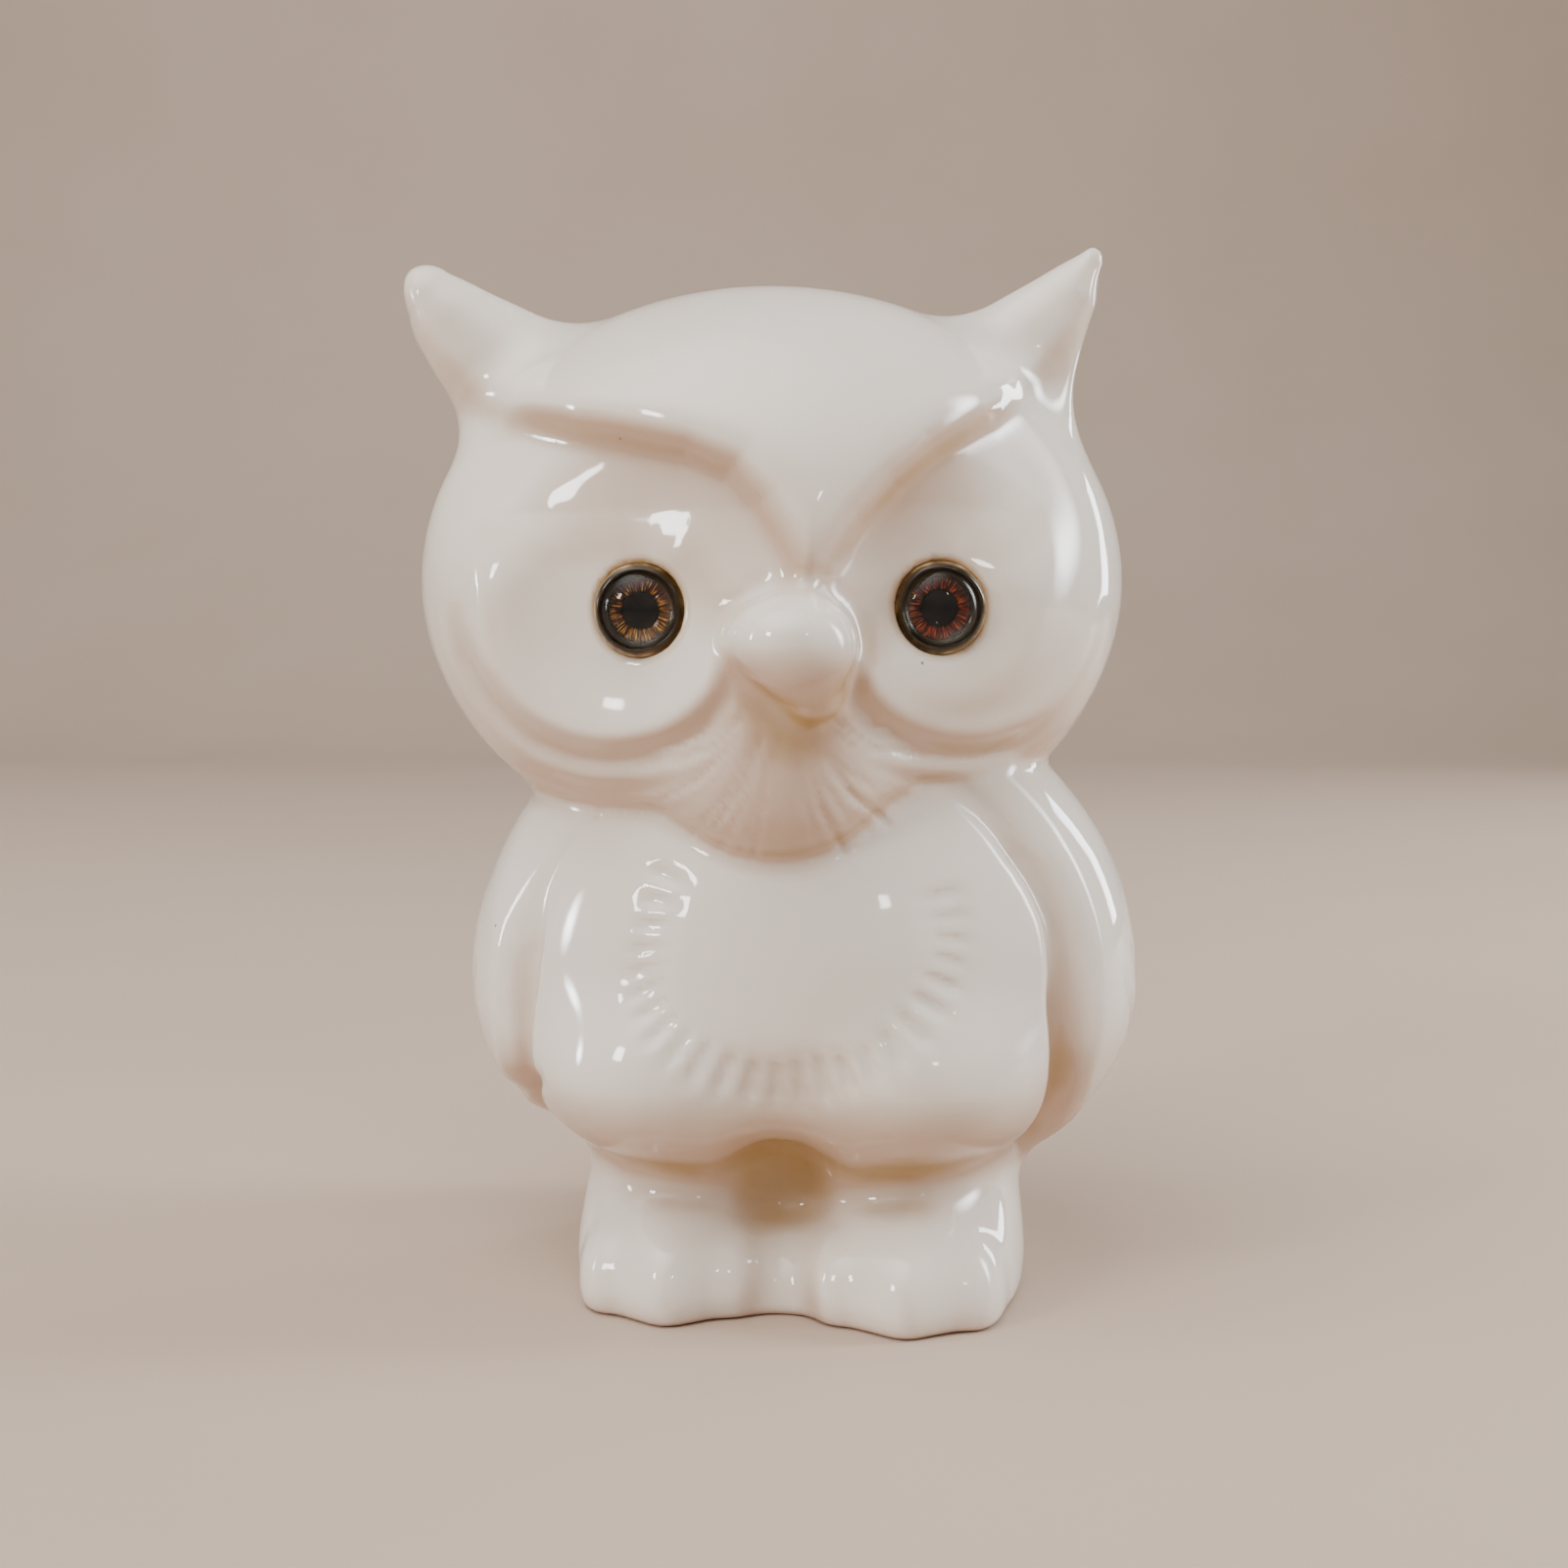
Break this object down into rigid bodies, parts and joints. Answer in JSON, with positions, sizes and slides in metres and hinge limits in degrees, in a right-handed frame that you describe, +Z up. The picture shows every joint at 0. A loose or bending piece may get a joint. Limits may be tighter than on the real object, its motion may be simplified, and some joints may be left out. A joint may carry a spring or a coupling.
{
  "type": "owl figurine",
  "caption": "Hollow glazed ceramic owl that stands on a flat base, with layered glass eyes glued into blind sockets.",
  "frame": {"origin": "middle of the bounding box on the plane of the base", "axes": "+Z up out of the base, the face looks along -Y, +X is to the viewer's right"},
  "size_m": [0.0706, 0.0628, 0.098],
  "materials": {
    "glaze": "glossy cream glaze, amber where it pools",
    "adhesive": "clear amber resin",
    "backing": "dark olive enamel",
    "iris_gold": "crinkled gold foil",
    "iris_red": "crinkled copper-red foil",
    "pupil": "black enamel",
    "eye_glass": "polished clear"
  },
  "bodies": {
    "root": {"owl_casting": "glaze", "left_eye_adhesive": "adhesive", "left_eye_backing": "backing", "left_iris_foil": "iris_gold", "left_pupil": "pupil", "left_glass_dome": "eye_glass", "right_eye_adhesive": "adhesive", "right_eye_backing": "backing", "right_iris_foil": "iris_red", "right_pupil": "pupil", "right_glass_dome": "eye_glass"}
  },
  "joints": []
}
